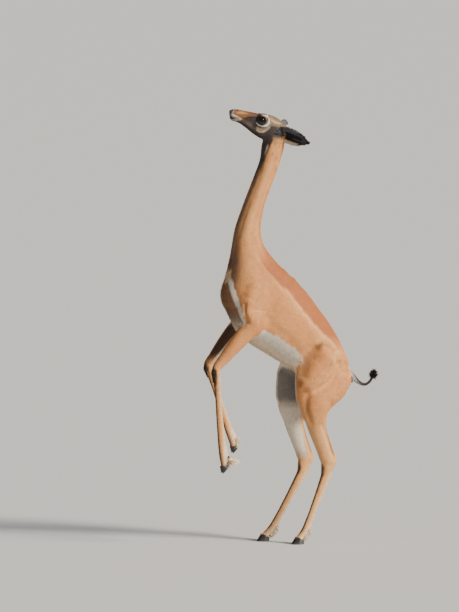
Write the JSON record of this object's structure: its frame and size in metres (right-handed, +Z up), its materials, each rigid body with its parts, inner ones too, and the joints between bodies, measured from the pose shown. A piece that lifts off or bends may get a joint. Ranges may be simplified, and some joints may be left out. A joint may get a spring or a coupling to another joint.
{
  "type": "gerenuk",
  "caption": "Life-size long-necked antelope reared up on its hind legs, head raised to browse and forelegs folded in the air.",
  "frame": {"origin": "on the floor, under the middle of the animal's bounding box, between and behind the hind feet", "axes": "+Z up, -X towards the nose, -Y towards the animal's left side"},
  "size_m": [0.7883, 0.2448, 1.8405],
  "materials": {
    "coat": "short sleek fawn hair with a darker saddle and a white belly",
    "hoof": "worn black horn",
    "eye": "wet and glossy"
  },
  "bodies": {
    "root": {"dewclaw_fore_left_inner": "hoof", "dewclaw_fore_left_outer": "hoof", "dewclaw_fore_right_inner": "hoof", "dewclaw_fore_right_outer": "hoof", "dewclaw_hind_left_inner": "hoof", "dewclaw_hind_left_outer": "hoof", "dewclaw_hind_right_inner": "hoof", "dewclaw_hind_right_outer": "hoof", "ear_left": "coat", "ear_right": "coat", "eye_left": "eye", "eye_right": "eye", "foreleg_left": "coat", "foreleg_right": "coat", "head": "coat", "hindleg_left": "coat", "hindleg_right": "coat", "hoof_fore_left_inner": "hoof", "hoof_fore_left_outer": "hoof", "hoof_fore_right_inner": "hoof", "hoof_fore_right_outer": "hoof", "hoof_hind_left_inner": "hoof", "hoof_hind_left_outer": "hoof", "hoof_hind_right_inner": "hoof", "hoof_hind_right_outer": "hoof", "neck": "coat", "tail": "coat", "trunk": "coat"}
  },
  "joints": []
}
